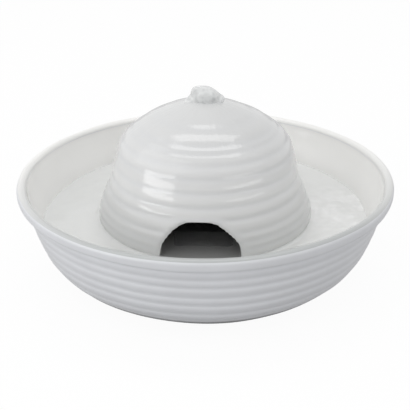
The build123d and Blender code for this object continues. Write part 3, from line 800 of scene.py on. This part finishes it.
class FOUNTAIN_OT_bowl(bpy.types.Operator):
    """Throws the bowl: ribbed outside, thick round lip, smooth inside and a bare foot"""

    bl_idname = "fountain.bowl"
    bl_label = "Bowl"

    def execute(self, context):
        shape, colours = context.scene.fountain_shape, context.scene.fountain_finish
        outside = spaced(flowing(BOWL_MERIDIAN), 1.1 * MM)
        valleys = [(z, BOWL_VALLEY_DEPTH) for z in BOWL_VALLEYS]
        weights = [press(p, valleys, shape.rib_width) for p in outside]
        below, above = BOWL_LIP_ARCS
        lip = arc(*below, -125, 0, 6) + arc(*above, 0, 180, 16)
        inside = spaced(flowing(BOWL_INSIDE), 4 * MM)
        floor = [Vector((r * MM, 11 * MM)) for r in FLOOR_RADII]
        foot = [Vector((r * MM, 1 * MM)) for r in (0, 40, 80)]
        line = foot + outside + lip + inside + floor
        weights = [0.0] * len(foot) + weights
        # The lip's outward face is given a thicker, lighter glaze, a painted highlight
        coated = weights + [0.12] * LIP_SIDE_POINTS + [-0.3] * (len(lip) - LIP_SIDE_POINTS)
        coated += [1.5] * (len(inside) + CLEAN_FLOOR_RADII)
        coated += [-0.75] * (len(floor) - CLEAN_FLOOR_RADII)
        weights += [0.0] * (len(line) - len(weights))
        bowl = drawn("bowl_ceramic", line, weights, coated)
        thrown(bowl, 224)
        eased(bowl)
        modify(bowl, "DISPLACE", vertex_group="ribs", strength=-shape.rib_depth, mid_level=0.0)
        wander(bowl, shape)
        uneven = bowl.vertex_groups.new(name="uneven")
        for v in bowl.data.vertices:
            if v.co.z > RISE_FROM:
                turn = math.degrees(math.atan2(v.co.x, -v.co.y))
                high = math.exp(-(((turn - RISE_TURN) / RISE_SPREAD) ** 2))
                uneven.add([v.index], high * (v.co.z - RISE_FROM) / RISE_OVER, "REPLACE")
        modify(bowl, "DISPLACE", vertex_group="uneven", direction="Z", strength=shape.lip_rise, mid_level=0.0)
        for i in range(4):
            way = Matrix.Rotation(math.radians(45 + 90 * i), 4, "Z")
            bpy.ops.object.select_all(action="DESELECT")
            bpy.ops.mesh.primitive_cylinder_add(
                vertices=64,
                radius=PAD_R * MM,
                depth=2 * PAD_RECESS_Z * MM,
                location=way @ Vector((PAD_CIRCLE_R * MM, 0, 0)),
            )
            carve(bowl, bpy.context.object)
        smooth(bowl, 50)
        thick, thin, inner = colours.glaze, colours.glaze_thin, colours.glaze_inside
        dress(bowl, glaze_finish("white glaze, bowl", thick, thin, colours.clay, 1.6 * MM, inner))
        settle(bowl, "base", ["bowl"])
        return {"FINISHED"}


def opening(name, outline, side):
    """Upright sheet along an opening's edge, on one side of the dome's axis. Returns it with the edge."""
    edge = spaced(flowing(outline, 24), 1.0 * MM)
    sheet = drawn(name, edge)
    edit(sheet)
    bpy.ops.transform.translate(value=(0, side * 40 * MM, 0))
    bpy.ops.mesh.extrude_region_move(TRANSFORM_OT_translate={"value": (0, side * 80 * MM, 0)})
    done()
    return sheet, edge


def below_edge(point, edge, side):
    """Whether a point of the dome lies in the opening under an edge."""
    if point.y * side < 0:
        return False
    spans = [(a, b) for a, b in zip(edge, edge[1:]) if a.x <= point.x < b.x]
    return any(point.z < a.lerp(b, (point.x - a.x) / (b.x - a.x)).y for a, b in spans)


def snapped(dome, sheet, rim, repeat):
    """Moves the vertices of a cut's rim onto the sheet, and evens out the two rows beside them."""
    group = dome.vertex_groups.new(name="rim")
    group.add(sorted(rim), 1.0, "REPLACE")
    modify(dome, "SHRINKWRAP", target=sheet, vertex_group="rim", wrap_method="NEAREST_SURFACEPOINT")
    dome.vertex_groups.remove(dome.vertex_groups["rim"])
    pick(dome, "vertices", lambda v: v.index in rim)
    bpy.ops.mesh.select_more()
    bpy.ops.mesh.select_more()
    done()
    beside = {v.index for v in dome.data.vertices if v.select and v.co.z > 20 * MM} - rim
    pick(dome, "vertices", lambda v: v.index in beside)
    bpy.ops.mesh.vertices_smooth(factor=0.5, repeat=repeat)
    done()


def faded(dome, edge):
    """Fades the ribs out towards the mousehole, where a wet sponge went round it, and round the waist and on
    the left of the dome, where the thrower's hand pressed less."""
    low, high = min(p.x for p in edge) - SPONGED, max(p.x for p in edge) + SPONGED
    top = max(p.y for p in edge) + SPONGED
    for v, rib in in_valleys(dome):
        left = ramp(-v.co.x / math.hypot(v.co.x, v.co.y), LEFT_FROM, LEFT_SPAN)
        waist = math.exp(-(((v.co.z - WAIST_Z) / WAIST_SPREAD) ** 2))
        fade = 1 - LEFT_EASED * left - WAIST_EASED * waist
        if v.co.y < 0 and low < v.co.x < high and v.co.z < top:
            near = min((Vector((v.co.x, v.co.z)) - p).length for p in edge) / SPONGED
            fade *= ramp(near, 0.3, 0.7)
        rib.weight *= fade


class FOUNTAIN_OT_dome(bpy.types.Operator):
    """Throws the dome, cuts its openings and rounds the cut edges"""

    bl_idname = "fountain.dome"
    bl_label = "Dome"

    def execute(self, context):
        shape, colours = context.scene.fountain_shape, context.scene.fountain_finish
        foot = [Vector((r * MM, 11 * MM)) for r in (65, 67, 69, 71, 73)]
        outside = spaced(flowing(DOME_MERIDIAN), 1.2 * MM)
        weights = [0.0] * len(foot) + [press(p, DOME_VALLEYS, shape.rib_width) for p in outside]
        dome = drawn("dome_ceramic", foot + outside, weights)
        thrown(dome, 224)

        sheet, mousehole = opening("mousehole edge", MOUSEHOLE_EDGE, -1)
        notch_sheet, notch = opening("cord notch edge", NOTCH_EDGE, 1)
        only(sheet)
        notch_sheet.select_set(True)
        bpy.ops.object.join()

        def cut_away(face):
            return below_edge(face.center, mousehole, -1) or below_edge(face.center, notch, 1)

        pick(dome, "polygons", cut_away)
        bpy.ops.mesh.delete(type="FACE")
        bpy.ops.mesh.select_mode(type="VERT")
        bpy.ops.mesh.select_all(action="DESELECT")
        bpy.ops.mesh.select_non_manifold(extend=False)
        done()
        rim = set()
        for v in dome.data.vertices:
            edge = mousehole if v.co.y < 0 else notch
            if v.select and min((Vector((v.co.x, v.co.z)) - p).length for p in edge) < CUT_REACH:
                rim.add(v.index)
        skin = len(dome.data.vertices)
        snapped(dome, sheet, rim, 3)
        modify(dome, "SOLIDIFY", thickness=shape.dome_wall, offset=-1.0)
        # Solidify keeps the skin's vertices first and adds the inner wall's in the same order
        pressed = dome.data.attributes["pressed"].data
        for i in range(skin, len(dome.data.vertices)):
            pressed[i].value = -1.0
        snapped(dome, sheet, {i + skin for i in rim}, 2)
        bpy.data.objects.remove(sheet)
        pick(dome, "edges", lambda e: set(e.vertices) <= rim or {i - skin for i in e.vertices} <= rim)
        bpy.ops.mesh.bevel(offset=shape.edge_round, segments=3, affect="EDGES", clamp_overlap=True)
        done()
        faded(dome, mousehole)
        modify(dome, "DISPLACE", vertex_group="ribs", strength=-shape.rib_depth, mid_level=0.0)
        wander(dome, shape)
        seat = drawn("outlet seat", [Vector(p) * MM for p in OUTLET_SEAT])
        thrown(seat, 64)
        carve(dome, seat)
        smooth(dome, 50)
        thick, thin, water = colours.dome_glaze, colours.dome_glaze_thin, shape.water_level
        dress(dome, glaze_finish("white glaze, dome", thick, thin, colours.clay, 11.2 * MM, water_z=water))
        settle(dome, "dome", ["dome"])
        return {"FINISHED"}


class FOUNTAIN_OT_pool(bpy.types.Operator):
    """Fills the bowl with rippled water"""

    bl_idname = "fountain.pool"
    bl_label = "Pool"

    def execute(self, context):
        shape = context.scene.fountain_shape
        level = shape.water_level
        inside = spaced(flowing(BOWL_INSIDE), 4 * MM)
        wall = [p + Vector((0.5 * MM, -0.3 * MM)) for p in inside if p.y < level - MM]
        edge_r = wall[0].x + (level - wall[0].y) * 0.35

        def from_wall(r):
            return min(max(abs(r - DOME_WATERLINE_R) - 0.8 * MM, 0.0), edge_r - r)

        radii = [0.0]
        while radii[-1] < edge_r:
            step = 0.6 * MM if from_wall(radii[-1]) < 4 * MM else 2 * MM
            radii.append(min(edge_r, radii[-1] + step))
        top = [Vector((r, level + shape.meniscus * math.exp(-from_wall(r) / (1.7 * MM)))) for r in radii]
        bottom = [Vector((r * MM, wall[-1].y)) for r in (70, 35, 0)]
        line = top + wall + bottom
        pool = drawn("pool_water", line, [1.0] * len(top) + [0.0] * (len(wall) + len(bottom)))
        thrown(pool, 224)
        splash = pool.vertex_groups.new(name="splash")
        for v in pool.data.vertices:
            if v.co.z > level - 0.5 * MM:
                away = (v.co - Vector(SPLASH_PLACE)).length / (28 * MM)
                splash.add([v.index], math.exp(-(away**2)), "REPLACE")
        for name, group, grain, depth in (
            ("swell", "ribs", 26 * MM, 1.6 * shape.ripple),
            ("ripple", "ribs", 9 * MM, 0.8 * shape.ripple),
            ("splash", "splash", 18 * MM, shape.splash),
        ):
            modify(
                pool,
                "DISPLACE",
                texture=clouds(f"pool {name}", grain),
                texture_coords="LOCAL",
                direction="Z",
                vertex_group=group,
                strength=depth,
                mid_level=0.5,
            )
        smooth(pool, 60)
        dress(pool, water_finish("pool water", pool_bubbles))
        settle(pool, "base")
        return {"FINISHED"}


class FOUNTAIN_OT_mound(bpy.types.Operator):
    """Wells water up over the outlet in the dome's top"""

    bl_idname = "fountain.mound"
    bl_label = "Water mound"

    def execute(self, context):
        shape = context.scene.fountain_shape
        bpy.ops.object.select_all(action="DESELECT")
        bpy.ops.object.metaball_add(type="BALL", radius=1.0)
        mound = context.object
        mound.data.resolution = mound.data.render_resolution = MOUND_CELL * MOUND_ENLARGED
        mound.data.threshold = 0.35
        mound.data.elements.clear()
        for x, y, below_top, radius, flat in MOUND_LUMPS:
            ball = mound.data.elements.new(type="ELLIPSOID")
            ball.co = Vector((x * MM, y * MM, shape.mound_top - below_top * MM)) * MOUND_ENLARGED
            ball.radius = 3.0 * radius * MM * MOUND_ENLARGED
            ball.size_x = ball.size_y = 0.5
            ball.size_z = 0.5 * flat
        bpy.ops.object.convert(target="MESH")
        mound = context.object
        mound.name = mound.data.name = "water_mound"
        bpy.ops.transform.resize(value=[1 / MOUND_ENLARGED] * 3, center_override=(0, 0, 0))
        bpy.ops.object.transform_apply(location=True, rotation=True, scale=True)
        modify(mound, "SMOOTH", factor=0.5, iterations=14)
        lumps = clouds("mound lumps", 9 * MM)
        modify(mound, "DISPLACE", texture=lumps, texture_coords="LOCAL", strength=0.9 * MM)
        tidy(mound)
        smooth(mound, 60)
        dress(mound, water_finish("welling water", mound_bubbles))
        settle(mound, "dome")
        return {"FINISHED"}


class FOUNTAIN_OT_foam(bpy.types.Operator):
    """Cuts the foam filter: a soft block with a pocket for the pump's front"""

    bl_idname = "fountain.foam"
    bl_label = "Foam filter"

    def execute(self, context):
        low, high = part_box("foam_filter")
        grille_low, grille_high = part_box("intake_grille")
        middle, extent = (low + high) / 2, high - low
        bpy.ops.object.select_all(action="DESELECT")
        bpy.ops.mesh.primitive_cube_add(size=1.0, location=middle)
        foam = context.object
        foam.name = foam.data.name = "foam_block"
        foam.scale = extent
        bpy.ops.object.transform_apply(location=True, rotation=True, scale=True)

        def worn(edge):
            a, b = (foam.data.vertices[i].co for i in edge.vertices)
            return max(a.y, b.y) < middle.y or (min(a.z, b.z) > middle.z and abs(a.x - b.x) < MM)

        pick(foam, "edges", worn)
        bpy.ops.mesh.bevel(offset=6 * MM, segments=5, affect="EDGES")
        done()
        room = Vector((0.8 * MM, 0.8 * MM, 0.8 * MM))
        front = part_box("flow_slider")[0].y
        pocket_low = Vector((grille_low.x, front, grille_low.z)) - room
        pocket_high = Vector((grille_high.x, high.y + 5 * MM, grille_high.z)) + room
        bpy.ops.object.select_all(action="DESELECT")
        bpy.ops.mesh.primitive_cube_add(size=1.0, location=(pocket_low + pocket_high) / 2)
        pocket = context.object
        pocket.scale = pocket_high - pocket_low
        bpy.ops.object.transform_apply(location=True, rotation=True, scale=True)
        carve(foam, pocket)
        modify(foam, "REMESH", mode="VOXEL", voxel_size=1.1 * MM)
        modify(foam, "SMOOTH", factor=0.5, iterations=4)
        cells = clouds("foam cells", 2.2 * MM)
        modify(foam, "DISPLACE", texture=cells, texture_coords="LOCAL", strength=0.7 * MM)
        smooth(foam, 60)
        dress(foam, foam_finish(context.scene.fountain_finish))
        settle(foam, "filter", ["foam_filter"])
        return {"FINISHED"}


class FOUNTAIN_OT_fittings(bpy.types.Operator):
    """Gives the pump, its tube and the pads their finishes"""

    bl_idname = "fountain.fittings"
    bl_label = "Pump and fittings"

    def execute(self, context):
        colours = context.scene.fountain_finish
        black = moulded_finish("black pump plastic", colours.plastic, 0.42)
        grey = moulded_finish("grey rotor plastic", (0.11, 0.115, 0.12), 0.38)
        white = moulded_finish("white nylon", (0.62, 0.62, 0.58), 0.45)
        rubber = rubber_finish("soft black rubber", (0.014, 0.014, 0.015))
        ferrite = metal_finish("sintered ferrite", (0.06, 0.06, 0.063), 0.55, (1, 1, 1), metallic=0.4)
        finishes = {
            "bowl_pads": clear_finish("clear silicone pads", (0.62, 0.64, 0.63), 0.55),
            "outlet_grommet": rubber_finish("grommet silicone", (0.55, 0.56, 0.55), 0.4, 0.1),
            "riser_tube": clear_finish("clear riser hose", (0.66, 0.69, 0.69), 0.3),
            "chamber_cover": black,
            "intake_grille": black,
            "pump_housing": black,
            "flow_slider": moulded_finish("slider plastic", (0.11, 0.115, 0.12), 0.4),
            "chamber_seal": rubber,
            "front_bush": rubber,
            "rear_bush": rubber,
            "suction_cups": rubber,
            "cable_gland": rubber,
            "thrust_washers": white,
            "coil_bobbin": white,
            "impeller": grey,
            "rotor_magnet": ferrite,
            "rotor_shaft": metal_finish("ground steel", (0.6, 0.61, 0.62), 0.2, (1, 0.05, 1), grain=0.2),
            "stator_core": striped_finish(
                "steel laminations", (0.42, 0.43, 0.44), (0.08, 0.08, 0.08), 0.5 * MM, 1, 0.9, 0.4, 0.05 * MM
            ),
            "coil_winding": striped_finish(
                "enamelled copper", (0.62, 0.25, 0.1), (0.2, 0.06, 0.02), 0.35 * MM, 0, 0.8, 0.3, 0.1 * MM
            ),
            "motor_potting": moulded_finish("poured resin", (0.02, 0.02, 0.022), 0.12, grain=6.0, depth=0.1),
        }
        for name, material in finishes.items():
            dress(frame["nodes"][name], material)
        return {"FINISHED"}


def softbox(name, azimuth, elevation, distance, width, height, power):
    """Rectangular lamp facing the fountain."""
    a, e = math.radians(azimuth), math.radians(elevation)
    way = Vector((math.sin(a) * math.cos(e), -math.cos(a) * math.cos(e), math.sin(e)))
    bpy.ops.object.light_add(type="AREA", location=Vector(LAMP_TARGET) + way * distance)
    lamp = bpy.context.object
    lamp.name = name
    lamp.rotation_mode = "QUATERNION"
    lamp.rotation_quaternion = way.to_track_quat("Z", "Y")
    lamp.data.shape = "RECTANGLE"
    lamp.data.size, lamp.data.size_y = width, height
    lamp.data.energy = power


def studio_world():
    """White surroundings, dimmer as a light than as the camera and the gloss see them."""
    world = bpy.data.worlds.new("studio")
    world.use_nodes = True
    tree = world.node_tree
    tree.nodes.clear()
    path, mix = tree.nodes.new("ShaderNodeLightPath"), tree.nodes.new("ShaderNodeMixShader")
    out = tree.nodes.new("ShaderNodeOutputWorld")
    seen = path.outputs["Is Camera Ray"]
    for ray in ("Is Transmission Ray", "Is Glossy Ray"):
        most = tree.nodes.new("ShaderNodeMath")
        most.operation = "MAXIMUM"
        tree.links.new(seen, most.inputs[0])
        tree.links.new(path.outputs[ray], most.inputs[1])
        seen = most.outputs[0]
    tree.links.new(seen, mix.inputs[0])
    for socket, strength in ((1, AMBIENT), (2, 1.0)):
        light = tree.nodes.new("ShaderNodeBackground")
        light.inputs["Color"].default_value = (1, 1, 1, 1)
        light.inputs["Strength"].default_value = strength
        tree.links.new(light.outputs[0], mix.inputs[socket])
    tree.links.new(mix.outputs[0], out.inputs["Surface"])
    return world


class FOUNTAIN_OT_stage(bpy.types.Operator):
    """Lays the floor and sets the lamps and the camera"""

    bl_idname = "fountain.stage"
    bl_label = "Stage"

    def execute(self, context):
        settings = context.scene.fountain_stage
        bpy.ops.object.select_all(action="DESELECT")
        bpy.ops.mesh.primitive_plane_add(size=12.0)
        floor = context.object
        floor.name = "floor"
        finish = Finish("pale floor")
        lit = finish.node("BsdfDiffuse", None, {"Color": settings.bounce})
        glow = finish.node("Emission", None, {"Color": (1, 1, 1), "Strength": 1.0})
        eye = finish.node("LightPath", output="Is Camera Ray")
        shine = finish.node("LightPath", output="Is Glossy Ray")
        through = finish.node("LightPath", output="Is Transmission Ray")
        seen = eye.or_more(shine * FLOOR_SHINE).or_more(through)
        pale = finish.node("BsdfDiffuse", None, {"Color": settings.floor})
        seen_floor = finish.node("MixShader", None, {0: FLOOR_GLOW, 1: pale, 2: glow})
        dress(floor, finish.finished(finish.node("MixShader", None, {0: seen, 1: lit, 2: seen_floor})))

        context.scene.world = studio_world()
        for name, place_and_power in LAMPS.items():
            softbox(name, *place_and_power)

        bpy.ops.object.camera_add()
        camera = context.object
        camera.name = "camera"
        context.scene.camera = camera
        tilt = Matrix.Rotation(math.pi / 2 - settings.elevation, 4, "X")
        aim = Matrix.Rotation(settings.turn, 4, "Z") @ tilt @ Matrix.Rotation(settings.roll, 4, "Z")
        flat = settings.distance * math.cos(settings.elevation)
        x, y = flat * math.sin(settings.turn), -flat * math.cos(settings.turn)
        z = settings.target_height + settings.distance * math.sin(settings.elevation)
        camera.matrix_world = Matrix.Translation((x, y, z)) @ aim
        camera.data.sensor_width, camera.data.lens, camera.data.shift_x = SENSOR_WIDTH, LENS, SHIFT_X
        context.scene.view_settings.view_transform = "Standard"
        return {"FINISHED"}


class FOUNTAIN_PT_panel(bpy.types.Panel):
    """Lists the fountain's pieces and their sizes."""

    bl_label = "Fountain"
    bl_idname = "FOUNTAIN_PT_panel"
    bl_space_type = "VIEW_3D"
    bl_region_type = "UI"
    bl_category = "Fountain"

    def draw(self, context):
        for operator in OPERATORS:
            self.layout.operator(operator.bl_idname)
        for group_name in GROUPS:
            group = getattr(context.scene, group_name)
            box = self.layout.box()
            for name in group.bl_rna.properties.keys():
                if name not in ("rna_type", "name"):
                    box.prop(group, name)


OPERATORS = (
    FOUNTAIN_OT_bowl,
    FOUNTAIN_OT_dome,
    FOUNTAIN_OT_pool,
    FOUNTAIN_OT_mound,
    FOUNTAIN_OT_foam,
    FOUNTAIN_OT_fittings,
    FOUNTAIN_OT_stage,
)
GROUPS = {"fountain_shape": FountainShape, "fountain_finish": FountainFinish, "fountain_stage": FountainStage}


def register():
    for group in GROUPS.values():
        bpy.utils.register_class(group)
    for operator in OPERATORS:
        bpy.utils.register_class(operator)
    bpy.utils.register_class(FOUNTAIN_PT_panel)
    for name, group in GROUPS.items():
        setattr(bpy.types.Scene, name, bpy.props.PointerProperty(type=group))


def unregister():
    for name in GROUPS:
        delattr(bpy.types.Scene, name)
    bpy.utils.unregister_class(FOUNTAIN_PT_panel)
    for kind in (*reversed(OPERATORS), *GROUPS.values()):
        bpy.utils.unregister_class(kind)


def main():
    register()
    bpy.ops.fountain.bowl()
    bpy.ops.fountain.dome()
    bpy.ops.fountain.pool()
    bpy.ops.fountain.mound()
    bpy.ops.fountain.foam()
    bpy.ops.fountain.fittings()
    bpy.ops.fountain.stage()


if __name__ == "__main__":
    main()
